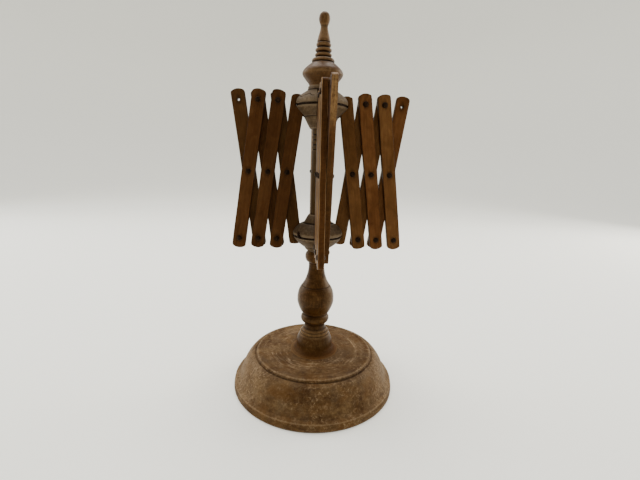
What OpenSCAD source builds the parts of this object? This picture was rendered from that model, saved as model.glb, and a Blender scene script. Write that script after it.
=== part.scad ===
// Table-top yarn swift. A turned base and baluster carry a spindle that turns
// freely. Four lazy-tongs arms hang from a fixed upper hub; sliding the lower
// hub up the spindle spreads them to hold a skein.
// Millimetres, +Z up, origin at the centre of the base's underside.

/* [Base] */
// Diameter of the base at its rim
base_d = 160; // [150:1:170]
// Height of the base's top disc
base_h = 34.6; // [32:0.2:38]
// Diameter of the raised top disc
base_disc_d = 116; // [110:1:120]
// Diameter of the column's tenon in the base
tenon_d = 22; // [18:0.5:26]
// Depth of the tenon's mortise
mortise_depth = 24; // [18:0.5:28]

/* [Column] */
// Height of the column's top bead above the floor
column_top = 138.4; // [137.5:0.1:138.5]
// Diameter of the spindle's journal
journal_d = 10; // [9:0.2:11]
// Depth of the journal bore below the column's top
bore_depth = 54; // [45:1:60]
// Radial clearance of the journal in its bore
journal_gap = 0.08; // [0.05:0.01:0.1]

/* [Spindle] */
// Diameter of the spindle between the hubs
spindle_d = 15.6; // [15:0.2:16]
// Diameter of the spindle inside the upper hub
hub_seat_d = 13; // [12:0.2:14]
// Diameter of the tenon inside the cap
cap_tenon_d = 11; // [9:0.2:11.6]
// Distance between the grip rings
grip_pitch = 4.4; // [4:0.1:5]
// Depth of the grip rings' grooves
grip_depth = 0.8; // [0.4:0.1:1.2]

/* [Hubs] */
// Largest diameter of both hubs
hub_d = 48; // [46:0.5:50]
// Radius of the wire rings that hinge the arms
wire_ring_r = 22.3; // [22:0.1:22.6]
// Diameter of the hinge wire
wire_d = 1.6; // [1.2:0.1:1.8]
// Radius of the notches' inner wall
notch_r = 11.4; // [11:0.1:11.8]
// Radial clearance of the lower hub on the spindle
slide_gap = 0.1; // [0.05:0.01:0.1]

/* [Arms] */
// Height of the plane through the arms' crossings
mid_z = 212.8; // [212:0.2:214]
// Distance between the end holes of a slat
slat_l = 125; // [124:0.5:126]
// Distance from an inner slat's middle hole to its hub hole
hub_half = 59.4; // [59:0.1:60]
// Lean of the slats from upright as photographed, degrees
lean = 8; // [7.5:0.1:9]
// Width of a slat
slat_w = 12.5; // [11:0.25:13]
// Thickness of a slat
slat_t = 5; // [4.6:0.1:5.2]
// Wood left beyond the end holes
slat_end = 9.5; // [8:0.25:10]
// Gap between the two layers of slats
layer_gap = 0.3; // [0.3:0.05:0.4]
// Diameter of the rivets' shanks
rivet_d = 2.6; // [2:0.1:3]
// Diameter of the rivets' heads
head_d = 4.5; // [4.25:0.25:6]
// Diameter of the open hole in an arm's free top end
peg_hole_d = 2.4; // [2:0.1:2.8]

/* [Output] */
// Which piece to draw

/* [Hidden] */

$fn = 96;
dark_wood = [0.33, 0.20, 0.10];
turned_wood = [0.40, 0.27, 0.16];
slat_wood = [0.47, 0.28, 0.13];
iron = [0.16, 0.14, 0.13];

half = slat_l / 2;
upper_z = mid_z + half * cos(lean);
lower_z = mid_z - half * cos(lean);
step_r = slat_l * sin(lean);
// heights of the wires in the two hubs
upper_wire_z = mid_z + hub_half * cos(lean);
lower_wire_z = mid_z - hub_half * cos(lean);
// the wire is curved, so its mean distance inside a slat is a little less
pivot_r = wire_ring_r - 0.3;
cross_r = pivot_r + hub_half * sin(lean);
layer = (slat_t + layer_gap) / 2;
bore_floor = column_top - bore_depth;
seat_z = upper_wire_z - 10;
hub_top = upper_wire_z + 16.2;

// a curve through the given points
function bend(a, b, c, d, t) = 0.5 * (2 * b + (c - a) * t
  + (2 * a - 5 * b + 4 * c - d) * t * t
  + (3 * b - a - 3 * c + d) * t * t * t);
function curve(p, n = 4) = [for (i = [0 : len(p) - 2]) for (k = [0 : n - 1])
  bend(p[max(i - 1, 0)], p[i], p[i + 1], p[min(i + 2, len(p) - 1)], k / n),
  p[len(p) - 1]];

module turned(p) { rotate_extrude() polygon(p); }

// ---- stand -------------------------------------------------------------
module base() {
  r = base_d / 2;
  d = base_disc_d / 2;
  h = base_h;
  color(dark_wood) difference() {
    turned(concat([[0, 0], [r + 0.2, 0]],
      curve([[r + 0.8, 0.7], [r + 0.7, 3.2], [r + 0.3, 5.8], [r, 7]], 3),
      [[r - 0.1, 7.3], [r - 0.6, 7.7]],
      curve([[r - 1.1, 7.9], [r - 3.8, 9.5], [r - 5.9, 12.3], [r - 7.3, 16], [r - 8.6, 20],
        [r - 10.4, 24], [r - 13.1, 28], [r - 16, h - 3.4], [r - 18.2, h - 2.3], [r - 19.4, h - 2.1]]),
      [[d + 1.9, h - 2.15], [d + 1.5, h - 2.2]],
      curve([[d + 1, h - 1.9], [d + 0.5, h - 0.9], [d - 0.1, h - 0.1], [d - 1, h + 0.25], [d - 2.1, h + 0.32], [d - 3.4, h + 0.2], [d - 4.8, h + 0.02]], 3),
      [[d - 5.5, h], [0, h]]));
    translate([0, 0, h - mortise_depth]) cylinder(d = tenon_d + 0.1, h = mortise_depth + 1);
  }
}

module column() {
  b = base_h;
  z = column_top;
  color(dark_wood) difference() {
    turned(concat([[0, b - mortise_depth + 1], [tenon_d / 2 - 0.6, b - mortise_depth + 1],
      [tenon_d / 2, b - mortise_depth + 1.6], [tenon_d / 2, b], [23.8, b]],
      curve([[24, b + 0.3], [22.1, b + 0.9], [20.2, b + 2.1], [18.9, b + 3.9], [18.3, b + 6], [18.2, b + 8.4], [18, b + 10.8], [17.4, b + 13], [16.6, b + 14.9], [15.7, b + 16.8], [14.9, b + 18.2]], 3),
      curve([[14.2, b + 18.5], [14.5, b + 19.5], [14.2, b + 20.7], [13.3, b + 21.3]], 3),
      curve([[12.6, b + 21.5], [12.8, b + 22.4], [12.2, b + 23.4], [11.2, b + 24]], 3),
      curve([[10.8, b + 24.3], [10.5, b + 26], [10.4, b + 27.8], [10.6, b + 29.2], [10.9, b + 29.9]], 3),
      curve([[11.2, b + 30.2], [12.9, b + 31.5], [14, b + 33.4], [14.2, b + 35], [13.8, b + 36.8], [12.5, b + 38.7]], 3),
      curve([[12, b + 39.3], [13.9, b + 41.8], [15.2, b + 44], [17, b + 48.3], [18.1, b + 52.6], [18.2, b + 56.8], [17.9, b + 60], [17.1, b + 63.4], [15.8, b + 66.4], [14.6, b + 68.4]], 3),
      [[13.7, b + 68.8], [13.6, b + 69.3]],
      curve([[13.7, b + 69.6], [12.6, b + 71.4], [11.3, b + 73.7], [9.7, b + 77.8], [8.6, b + 81.9], [7.9, b + 86.2], [7.8, z - 13.6], [8, z - 11.4]]),
      curve([[8.6, z - 11], [10.2, z - 9.6], [11.2, z - 7.2], [11.4, z - 5.2], [11, z - 2.6], [9.4, z]], 3),
      [[0, z]]));
    translate([0, 0, bore_floor]) cylinder(d = journal_d + 2 * journal_gap, h = bore_depth + 1);
  }
}

module thrust_plate() {
  color(iron) translate([0, 0, bore_floor])
    rotate_extrude() polygon([[0, 0], [journal_d / 2 - 0.1, 0], [journal_d / 2 - 0.1, 1.2],
      [journal_d / 2 - 0.4, 1.5], [2, 1.5], [0, 1.1]]);
}

// ---- head --------------------------------------------------------------
module pivot_pin() {
  color(iron) translate([0, 0, bore_floor + 1.4])
    rotate_extrude() polygon(concat(curve([[0, 0], [0.9, 0.25], [1.5, 1.1]], 4), [[1.5, 12], [1.1, 12.6], [0, 12.6]]));
}

module spindle() {
  s = spindle_d / 2;
  j = journal_d / 2;
  n = 4;
  top = upper_wire_z - 19.9;
  color(turned_wood) difference() {
    turned(concat([[0, bore_floor + 3], [j - 0.8, bore_floor + 3], [j, bore_floor + 3.8], [j, column_top + 0.3], [s - 0.6, column_top + 0.3], [s, column_top + 0.9]],
      [[s, top - n * grip_pitch - 1]],
      [for (i = [n : -1 : 1]) each [[s - grip_depth, top - i * grip_pitch - 0.6], [s - grip_depth, top - i * grip_pitch],
        [s - 0.1, top - i * grip_pitch + 0.8], [s, top - i * grip_pitch + 1.8], [s - 0.1, top - i * grip_pitch + 2.8]]],
      [[s - 0.1, top], [s - 0.1, seat_z], [hub_seat_d / 2, seat_z], [hub_seat_d / 2, hub_top],
       [cap_tenon_d / 2, hub_top], [cap_tenon_d / 2, hub_top + 14.8], [cap_tenon_d / 2 - 0.8, hub_top + 15.6], [0, hub_top + 15.6]]));
    translate([0, 0, bore_floor]) cylinder(d = 3, h = 14);
  }
}

// groove round a hub's rim for the hinge wire
function hub_rim() = [[23.4, -1], [wire_ring_r - 0.9, -0.9], [wire_ring_r - 0.9, 0.9], [23.4, 1]];

// four notches for the slats' ends, on the wire plane; up is the inner side
module notches(side, up) {
  w = slat_t + 0.6;
  for (k = [0 : 3]) {
    a = [0, 180, -90, 90][k];
    // the left arm's layers are the other way round
    s = (k == 1 ? -1 : 1) * side;
    rotate([0, 0, a]) translate([0, s * layer - w / 2, 0]) {
      translate([notch_r, 0, up > 0 ? -11.6 : -9]) cube([20, w, up > 0 ? 20.6 : 21.6]);
      translate([16.4, 0, up > 0 ? 0 : -14]) cube([15, w, 14]);
    }
  }
}

module lower_hub() {
  color(turned_wood) translate([0, 0, lower_wire_z]) difference() {
    turned(concat([[0, -15.2], [8.9, -15.2]],
      curve([[9.2, -15.1], [11.4, -13.5], [12.6, -11.6], [13, -10.8]], 3),
      [[13.2, -10.6], [13.9, -10.6]],
      curve([[14.2, -10.4], [18, -7.5], [21, -4.4], [23.1, -1.4]], 4), hub_rim(),
      curve([[23.6, 1.4], [hub_d / 2 - 0.2, 2.4], [23.6, 3.6], [22.8, 5.4], [21.4, 7.4], [18.8, 9.9], [16.2, 11.7]], 4),
      [[15.6, 11.9], [13.9, 11.9]],
      curve([[13.6, 12.2], [12.8, 14], [11.3, 16.8], [9.9, 19.2], [9, 20.3]], 3), [[0, 20.3]]));
    translate([0, 0, -20]) cylinder(d = spindle_d + 2 * slide_gap, h = 60);
    notches(1, 1);
  }
}

module upper_hub() {
  color(turned_wood) difference() {
    translate([0, 0, upper_wire_z]) difference() {
      turned(concat([[0, -19.4], [10, -19.4]],
        curve([[10.4, -19], [11.2, -17.6], [12.5, -15.4], [14.1, -12.4], [15.4, -10]], 3),
        [[15.7, -9.3], [16.4, -9.1]],
        curve([[16.8, -8.8], [19.4, -6.2], [22, -3.4], [23.3, -1.5]], 4), hub_rim(),
        curve([[23.6, 1.4], [hub_d / 2 - 0.2, 2.4], [23.6, 4], [22.6, 6], [20.4, 8.2], [17.4, 10.4], [14.8, 12.1]], 4),
        curve([[13.6, 12.6], [13, 14.2], [12.7, 16.2]], 3), [[0, 16.2]]));
      notches(-1, -1);
    }
    translate([0, 0, upper_wire_z - 30]) cylinder(d = spindle_d, h = 30 - 10);
    translate([0, 0, upper_wire_z - 30]) cylinder(d = hub_seat_d, h = 60);
  }
}

module wire_ring() {
  rotate_extrude() translate([wire_ring_r, 0]) circle(d = wire_d, $fn = 32);
}

module lower_hub_wire() {
  color(iron) translate([0, 0, lower_wire_z]) wire_ring();
}

module upper_hub_wire() {
  color(iron) translate([0, 0, upper_wire_z]) wire_ring();
}

module finial_cap() {
  color(turned_wood) translate([0, 0, hub_top]) difference() {
    turned(concat([[0, 0]],
      curve([[11.6, 0], [12, 1.6], [13, 3.4], [14.6, 5.2], [16.6, 7.7], [17.8, 9.6], [18.1, 11], [17.7, 12.6], [16.6, 14.2], [15.2, 15.6], [13.4, 17.2], [11.4, 18.8], [9.9, 19.9]], 3),
      curve([[9.5, 20.2], [10.1, 21.2], [10, 22.2], [9.2, 23.2], [7.8, 23.8]], 3),
      [[6.3, 24.1], [6.2, 24.7]],
      curve([[6.6, 24.9], [7.3, 25.6], [7.5, 26.3], [7.2, 27.1], [6.4, 27.6]], 3),
      [[5.8, 27.9], [5.7, 28.5]],
      curve([[6.1, 28.8], [7.1, 29.6], [7.3, 30.4], [7, 31.2], [6, 31.7]], 3),
      [[5.4, 32.1], [5.3, 32.7]],
      curve([[5.6, 32.9], [6.3, 33.7], [6.5, 34.6], [6.3, 35.5], [5.9, 36]], 3),
      [[5.4, 36.3], [5.4, 36.8]],
      curve([[5.9, 37.2], [5.5, 38.8], [5, 40.8], [4.4, 43], [3.8, 45.2], [3.35, 47.2], [3.2, 49], [3.5, 50.4], [4.2, 52.2], [4.7, 54.1], [4.8, 55.8], [4.5, 57.5], [3.8, 59.1], [2.6, 60.3], [1.3, 61], [0, 61.2]])));
    translate([0, 0, -1]) cylinder(d = cap_tenon_d, h = 17);
  }
}

// ---- arms --------------------------------------------------------------
// one slat lying along X with its middle hole at 0, thickness along Z;
// tail and head are the distances from the middle hole to the end holes
module slat(tail, head, tail_hole, mid_hole, head_hole) {
  a = -tail - slat_end;
  b = head + slat_end;
  c = 3.2;
  bow = 12;
  w = slat_w;
  difference() {
    linear_extrude(slat_t, center = true) intersection() {
      union() {
        translate([a + c, -w / 2]) square([b - a - 2 * c, w]);
        translate([a, c - w / 2]) square([b - a, w - 2 * c]);
        for (x = [a + c, b - c], y = [-1, 1]) translate([x, y * (w / 2 - c)]) circle(r = c, $fn = 48);
      }
      union() {
        translate([a + bow, -w / 2 - 1]) square([b - a - 2 * bow, w + 2]);
        for (x = [a + bow, b - bow]) translate([x, 0]) circle(r = bow);
      }
    }
    translate([-tail, 0, -slat_t]) cylinder(d = tail_hole, h = 2 * slat_t, $fn = 48);
    translate([0, 0, -slat_t]) cylinder(d = mid_hole, h = 2 * slat_t, $fn = 48);
    translate([head, 0, -slat_t]) cylinder(d = head_hole, h = 2 * slat_t, $fn = 48);
  }
}

snug = rivet_d;
loose = rivet_d + 0.2;
wire_hole = wire_d + 0.9;

// an arm's own frame: X outwards, Y sideways; the left arm is mirrored so
// that its layers face the same way as the right one's
module arm(name) {
  if (name == "left") mirror([1, 0, 0]) children();
  else rotate([0, 0, name == "right" ? 0 : name == "front" ? -90 : 90]) children();
}

// drop slats run from the inner top to the outer bottom, in front
module drop_slat(name, i) {
  color(slat_wood) arm(name) translate([cross_r + i * step_r, -layer, mid_z])
    rotate([0, -90 - lean, 0]) rotate([90, 0, 0])
      slat(half, i == 0 ? hub_half : half, snug, snug, i == 0 ? wire_hole : snug);
}

// rise slats run from the inner bottom to the outer top, behind
module rise_slat(name, i) {
  color(slat_wood) arm(name) translate([cross_r + i * step_r, layer, mid_z])
    rotate([0, lean - 90, 0]) rotate([90, 0, 0])
      slat(i == 0 ? hub_half : half, half, i == 0 ? wire_hole : loose, loose, i == 2 ? peg_hole_d : loose);
}

// a rivet along Y, head in front, its tail peened behind or cut short at a free end
module rivet(r, z, free = false) {
  h = head_d / 2;
  s = rivet_d / 2;
  far = free ? slat_t + 0.25 : 2 * slat_t + layer_gap + 0.25;
  translate([r, -layer - slat_t / 2, z]) rotate([-90, 0, 0])
    rotate_extrude($fn = 48) polygon(concat(
      curve([[0, -1.5], [1.2, -1.3], [h - 0.6, -0.75], [h, -0.02]], 4), [[s, -0.02], [s, far], [s + 0.9, far]],
      curve([[s + 0.9, far], [s + 0.5, far + 0.7], [0.6, far + 1], [0, far + 1.05]], 3)));
}

module rivets(name, i) {
  r = cross_r + i * step_r;
  color(iron) arm(name) {
    rivet(r, mid_z);
    rivet(r + step_r / 2, lower_z, i == 2);
    if (i > 0) rivet(r - step_r / 2, upper_z);
  }
}

module right_inner_drop_slat() { drop_slat("right", 0); }
module right_inner_rise_slat() { rise_slat("right", 0); }
module right_middle_drop_slat() { drop_slat("right", 1); }
module right_middle_rise_slat() { rise_slat("right", 1); }
module right_outer_drop_slat() { drop_slat("right", 2); }
module right_outer_rise_slat() { rise_slat("right", 2); }
module left_inner_drop_slat() { drop_slat("left", 0); }
module left_inner_rise_slat() { rise_slat("left", 0); }
module left_middle_drop_slat() { drop_slat("left", 1); }
module left_middle_rise_slat() { rise_slat("left", 1); }
module left_outer_drop_slat() { drop_slat("left", 2); }
module left_outer_rise_slat() { rise_slat("left", 2); }
module front_inner_drop_slat() { drop_slat("front", 0); }
module front_inner_rise_slat() { rise_slat("front", 0); }
module front_middle_drop_slat() { drop_slat("front", 1); }
module front_middle_rise_slat() { rise_slat("front", 1); }
module front_outer_drop_slat() { drop_slat("front", 2); }
module front_outer_rise_slat() { rise_slat("front", 2); }
module back_inner_drop_slat() { drop_slat("back", 0); }
module back_inner_rise_slat() { rise_slat("back", 0); }
module back_middle_drop_slat() { drop_slat("back", 1); }
module back_middle_rise_slat() { rise_slat("back", 1); }
module back_outer_drop_slat() { drop_slat("back", 2); }
module back_outer_rise_slat() { rise_slat("back", 2); }
module right_inner_rivets() { rivets("right", 0); }
module right_middle_rivets() { rivets("right", 1); }
module right_outer_rivets() { rivets("right", 2); }
module left_inner_rivets() { rivets("left", 0); }
module left_middle_rivets() { rivets("left", 1); }
module left_outer_rivets() { rivets("left", 2); }
module front_inner_rivets() { rivets("front", 0); }
module front_middle_rivets() { rivets("front", 1); }
module front_outer_rivets() { rivets("front", 2); }
module back_inner_rivets() { rivets("back", 0); }
module back_middle_rivets() { rivets("back", 1); }
module back_outer_rivets() { rivets("back", 2); }

base();
column();
thrust_plate();
pivot_pin();
spindle();
lower_hub();
lower_hub_wire();
upper_hub();
upper_hub_wire();
finial_cap();
right_inner_drop_slat();
right_inner_rise_slat();
right_middle_drop_slat();
right_middle_rise_slat();
right_outer_drop_slat();
right_outer_rise_slat();
left_inner_drop_slat();
left_inner_rise_slat();
left_middle_drop_slat();
left_middle_rise_slat();
left_outer_drop_slat();
left_outer_rise_slat();
front_inner_drop_slat();
front_inner_rise_slat();
front_middle_drop_slat();
front_middle_rise_slat();
front_outer_drop_slat();
front_outer_rise_slat();
back_inner_drop_slat();
back_inner_rise_slat();
back_middle_drop_slat();
back_middle_rise_slat();
back_outer_drop_slat();
back_outer_rise_slat();
right_inner_rivets();
right_middle_rivets();
right_outer_rivets();
left_inner_rivets();
left_middle_rivets();
left_outer_rivets();
front_inner_rivets();
front_middle_rivets();
front_outer_rivets();
back_inner_rivets();
back_middle_rivets();
back_outer_rivets();
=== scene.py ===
import math
import random

import bmesh
import bpy
from mathutils import Matrix, Vector, noise
from mathutils.geometry import delaunay_2d_cdt


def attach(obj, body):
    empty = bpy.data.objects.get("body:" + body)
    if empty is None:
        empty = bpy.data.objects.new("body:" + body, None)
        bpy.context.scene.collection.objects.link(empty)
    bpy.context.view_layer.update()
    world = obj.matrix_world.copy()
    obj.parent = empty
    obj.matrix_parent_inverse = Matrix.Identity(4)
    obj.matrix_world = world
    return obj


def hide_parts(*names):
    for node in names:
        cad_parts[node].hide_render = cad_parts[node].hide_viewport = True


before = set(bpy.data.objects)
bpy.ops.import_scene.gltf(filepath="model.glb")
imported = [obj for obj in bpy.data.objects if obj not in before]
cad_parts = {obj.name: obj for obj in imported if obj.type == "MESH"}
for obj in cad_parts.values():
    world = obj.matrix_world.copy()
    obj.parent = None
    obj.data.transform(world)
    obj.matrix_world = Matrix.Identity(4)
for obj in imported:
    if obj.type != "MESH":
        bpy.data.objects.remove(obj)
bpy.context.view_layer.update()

MM = 0.001
HALF, HUB_HALF, LEAN, MID_Z = 62.5, 59.4, math.radians(8), 212.8
UP_Z = MID_Z + HALF * math.cos(LEAN)
LOW_Z = MID_Z - HALF * math.cos(LEAN)
UP_WIRE = MID_Z + HUB_HALF * math.cos(LEAN)
LOW_WIRE = MID_Z - HUB_HALF * math.cos(LEAN)
STEP = 2 * HALF * math.sin(LEAN)
RING = 22.3
CROSS = RING - 0.3 + HUB_HALF * math.sin(LEAN)
THICK, WIDE, END, GAP = 5.0, 12.5, 9.5, 0.3
LAY = (THICK + GAP) / 2
ARMS = {
    "right": (Vector((1, 0, 0)), Vector((0, 1, 0))),
    "left": (Vector((-1, 0, 0)), Vector((0, 1, 0))),
    "front": (Vector((0, -1, 0)), Vector((1, 0, 0))),
    "back": (Vector((0, 1, 0)), Vector((-1, 0, 0))),
}
ROWS = ("inner", "middle", "outer")
BASE_H, COL_TOP = 34.6, 138.4
HUB_TOP = UP_WIRE + 16.2


# ---------------------------------------------------------------- camera
def add_camera():
    dist, high, pitch, roll, az, tx = 341.8, 222.4, math.radians(12.11), math.radians(1.98), math.radians(4.7), 2.58
    turn = Matrix.Rotation(-az, 3, "Z")
    right, look, up = Vector((1, 0, 0)), Vector((0, math.cos(pitch), -math.sin(pitch))), Vector((0, math.sin(pitch), math.cos(pitch)))
    r2 = right * math.cos(roll) + up * math.sin(roll)
    u2 = up * math.cos(roll) - right * math.sin(roll)
    m = Matrix((r2, u2, -look)).transposed()
    m = (turn @ m).to_4x4()
    m.translation = turn @ Vector((tx, -dist, high)) * MM
    data = bpy.data.cameras.new("camera")
    data.lens, data.sensor_width, data.clip_start, data.clip_end = 20.25, 36.0, 0.01, 50.0
    cam = bpy.data.objects.new("camera", data)
    bpy.context.scene.collection.objects.link(cam)
    cam.matrix_world = m
    bpy.context.scene.camera = cam


add_camera()


# ---------------------------------------------------------------- node helper
class Mat:
    def __init__(self, name):
        self.m = bpy.data.materials.new(name)
        self.m.use_nodes = True
        self.t = self.m.node_tree
        self.t.nodes.clear()
        self.out = self.t.nodes.new("ShaderNodeOutputMaterial")
        self.bsdf = self.t.nodes.new("ShaderNodeBsdfPrincipled")
        self.t.links.new(self.bsdf.outputs[0], self.out.inputs[0])

    def put(self, socket, v):
        if isinstance(v, bpy.types.NodeSocket):
            self.t.links.new(v, socket)
        elif v is not None:
            socket.default_value = v

    def node(self, kind, **attrs):
        n = self.t.nodes.new(kind)
        for k, v in attrs.items():
            setattr(n, k, v)
        return n

    def math(self, op, a, b=None, c=None, clamp=False):
        n = self.node("ShaderNodeMath", operation=op, use_clamp=clamp)
        for i, v in enumerate((a, b, c)):
            self.put(n.inputs[i], v)
        return n.outputs[0]

    def vec(self, op, a, b=None, scale=None):
        n = self.node("ShaderNodeVectorMath", operation=op)
        self.put(n.inputs[0], a)
        self.put(n.inputs[1], b)
        if scale is not None:
            self.put(n.inputs["Scale"], scale)
        return n.outputs["Value"] if op in ("LENGTH", "DISTANCE", "DOT_PRODUCT") else n.outputs[0]

    def mapped(self, co, loc=(0, 0, 0), scale=(1, 1, 1), rot=(0, 0, 0)):
        n = self.node("ShaderNodeMapping")
        self.put(n.inputs["Vector"], co)
        n.inputs["Location"].default_value = loc
        n.inputs["Rotation"].default_value = rot
        n.inputs["Scale"].default_value = scale
        return n.outputs[0]

    def noise(self, co, scale=1.0, detail=2.0, rough=0.5, distort=0.0, lac=2.0):
        n = self.node("ShaderNodeTexNoise")
        self.put(n.inputs["Vector"], co)
        n.inputs["Scale"].default_value = scale
        n.inputs["Detail"].default_value = detail
        n.inputs["Roughness"].default_value = rough
        n.inputs["Lacunarity"].default_value = lac
        n.inputs["Distortion"].default_value = distort
        return n.outputs[0]

    def span(self, v, a, b, lo=0.0, hi=1.0, smooth=True):
        n = self.node("ShaderNodeMapRange", interpolation_type="SMOOTHSTEP" if smooth else "LINEAR")
        self.put(n.inputs[0], v)
        for i, x in zip((1, 2, 3, 4), (a, b, lo, hi)):
            n.inputs[i].default_value = x
        return n.outputs[0]

    def ramp(self, v, stops):
        n = self.node("ShaderNodeValToRGB")
        self.put(n.inputs[0], v)
        e = n.color_ramp.elements
        while len(e) < len(stops):
            e.new(0.5)
        for el, (p, c) in zip(e, stops):
            el.position = p
            el.color = (*c, 1)
        return n.outputs[0]

    def mix(self, f, a, b, kind="MIX"):
        n = self.node("ShaderNodeMix", data_type="RGBA", blend_type=kind)
        self.put(n.inputs[0], f)
        for i, v in ((6, a), (7, b)):
            self.put(n.inputs[i], v if isinstance(v, bpy.types.NodeSocket) else (*v, 1))
        return n.outputs[2]

    def attr(self, name):
        n = self.node("ShaderNodeAttribute", attribute_type="GEOMETRY", attribute_name=name)
        return n.outputs["Fac"]

    def coords(self):
        return self.mapped(self.node("ShaderNodeTexCoord").outputs["Object"], scale=(1000, 1000, 1000))

    def split(self, v):
        n = self.node("ShaderNodeSeparateXYZ")
        self.put(n.inputs[0], v)
        return n.outputs

    def join(self, x, y, z):
        n = self.node("ShaderNodeCombineXYZ")
        for i, v in enumerate((x, y, z)):
            self.put(n.inputs[i], v)
        return n.outputs[0]

    def bump(self, height, strength, distance, normal=None):
        n = self.node("ShaderNodeBump")
        n.inputs["Strength"].default_value = strength
        n.inputs["Distance"].default_value = distance
        self.put(n.inputs["Height"], height)
        self.put(n.inputs["Normal"], normal)
        return n.outputs[0]

    def set(self, **kw):
        for k, v in kw.items():
            s = self.bsdf.inputs[k.replace("_", " ")]
            self.put(s, (*v, 1) if isinstance(v, tuple) and len(v) == 3 and s.type == "RGBA" else v)
        return self.m


# ---------------------------------------------------------------- materials
def scaled(c, k):
    return tuple(v * k for v in c)


def slat_wood(name, seed, turn, dark, mid, light, side, arris, tip_side=None):
    """Oiled slat: faint straight grain along X, cloudy old finish, arrises rubbed light on some slats and painted dark
    as shade between slats on others, iron stain round the holes.
    """
    w = Mat(name)
    rnd = random.Random(seed)
    co = w.mapped(w.coords(), rot=turn)
    p = w.mapped(co, loc=tuple(rnd.uniform(-900, 900) for _ in range(3)))
    x, y, z = w.split(co)
    wave = w.noise(w.mapped(p, scale=(0.012, 0.06, 0.06)), 1, 2, 0.5)
    t = w.math("ADD", w.math("MULTIPLY_ADD", z, rnd.uniform(-0.5, 0.5), y), w.math("MULTIPLY_ADD", wave, 15.0, w.math("MULTIPLY", x, rnd.uniform(-0.018, 0.018))))
    rings = w.span(w.math("SINE", w.math("MULTIPLY", t, 2 * math.pi / rnd.uniform(2.2, 3.4))), -0.3, 1.0)
    fibre = w.noise(w.mapped(p, scale=(0.022, 0.85, 0.85)), 1, 5, 0.6, 0.3)
    fine = w.noise(w.mapped(p, scale=(0.075, 3.4, 3.4)), 1, 3, 0.6)
    cloud = w.noise(w.mapped(p, scale=(0.075, 0.115, 0.115)), 1, 5, 0.62, 0.7)
    blotch = w.noise(w.mapped(p, scale=(0.020, 0.06, 0.06)), 1, 3, 0.55, 0.4)
    f = w.math("MULTIPLY_ADD", rings, 0.05, w.math("MULTIPLY", fibre, 0.34))
    f = w.math("MULTIPLY_ADD", cloud, 0.80, f)
    f = w.math("MULTIPLY_ADD", blotch, 0.75, f)
    f = w.math("MULTIPLY_ADD", fine, 0.16, f)
    f = w.span(f, 0.70, 1.40, smooth=False)
    col = w.ramp(f, [(0.0, dark), (0.5, mid), (1.0, light)])
    pores = w.span(w.noise(w.mapped(p, scale=(0.17, 4.6, 4.6)), 1, 2, 0.5), 0.60, 0.72)
    col = w.mix(w.math("MULTIPLY", pores, 0.22), col, scaled(dark, 0.6))
    # sawn sides, rougher, then the arrises: rubbed by hands and wool where their tone is light, painted shade where it
    # is dark
    chew = w.noise(w.mapped(p, scale=(0.10, 0.55, 0.55)), 1, 5, 0.66)
    saw = w.span(w.noise(w.mapped(p, scale=(0.55, 0.30, 0.30)), 1, 4, 0.7), 0.34, 0.68, 0.65, 1.2, False)
    side_col = w.mix(w.span(fibre, 0.30, 0.70), scaled(side, 0.76), scaled(side, 1.2))
    if tip_side:
        # the side is paler towards the upper end
        upper_side_pale = w.span(w.math("ADD", x, w.math("MULTIPLY_ADD", chew, 24.0, -12.0)), 29.0, 52.0)
        upper_side_col = w.mix(w.span(fibre, 0.30, 0.70), scaled(tip_side, 0.76), scaled(tip_side, 1.2))
        left_on = w.span(w.noise(w.mapped(p, scale=(0.16, 0.75, 0.75)), 1, 5, 0.7, 0.5), 0.50, 0.64)
        side_col = w.mix(w.math("MULTIPLY", upper_side_pale, w.math("MULTIPLY_ADD", left_on, -0.8, 1.0)), side_col, upper_side_col)
    side_col = w.vec("SCALE", side_col, scale=saw)
    col = w.mix(w.attr("side"), col, side_col)
    # arris tone: painted shade where it is dark (left and right arms), rubbed wear where it is light
    rub = w.span(w.math("ADD", w.attr("edge"), w.math("MULTIPLY_ADD", chew, 1.2, -0.6)), 0.55, 0.98)
    col = w.mix(w.math("MULTIPLY", rub, 0.75), col, arris)
    # handled, dirty ends
    grime = w.span(w.noise(w.mapped(p, scale=(0.05, 0.14, 0.14)), 1, 5, 0.7, 0.4), 0.44, 0.72)
    tip = w.span(w.math("ABSOLUTE", x), 52.0, 72.0)
    dirt = w.math("MULTIPLY", grime, w.math("MULTIPLY_ADD", tip, 0.45, 0.16))
    col = w.mix(dirt, col, scaled(dark, 0.45))
    # iron stain round the holes
    ax = w.math("SUBTRACT", w.math("ABSOLUTE", x), HALF)
    yy = w.math("MULTIPLY", y, y)
    ax, mx = w.math("MULTIPLY", ax, 0.62), w.math("MULTIPLY", x, 0.62)
    d_end = w.math("SQRT", w.math("MULTIPLY_ADD", ax, ax, yy))
    d_mid = w.math("SQRT", w.math("MULTIPLY_ADD", mx, mx, yy))
    d = w.math("MINIMUM", d_end, d_mid)
    d = w.math("ADD", d, w.math("MULTIPLY_ADD", w.noise(w.mapped(p, scale=(0.16, 0.5, 0.5)), 1, 3, 0.6), 4.0, -2.0))
    stain = w.span(d, 3.7, 1.7)
    col = w.mix(w.math("MULTIPLY", stain, 0.46), col, scaled(dark, 0.25))
    # painted shade: the hole walls painted dark
    col = w.mix(w.attr("wall"), col, scaled(dark, 0.2))
    rough = w.math("MULTIPLY_ADD", fibre, 0.20, w.math("MULTIPLY_ADD", dirt, 0.2, 0.42))
    h = w.math("MULTIPLY_ADD", fine, 0.5, w.math("MULTIPLY_ADD", fibre, 0.8, w.math("MULTIPLY", pores, -0.8)))
    n = w.bump(h, 0.22, 0.0002)
    n = w.bump(w.noise(w.mapped(p, scale=(0.10, 0.22, 0.22)), 1, 3, 0.5), 0.20, 0.0008, n)
    return w.set(Base_Color=col, Roughness=rough, Normal=n, Specular_IOR_Level=0.09, Specular_Tint=(1.0, 0.68, 0.36))


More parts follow.
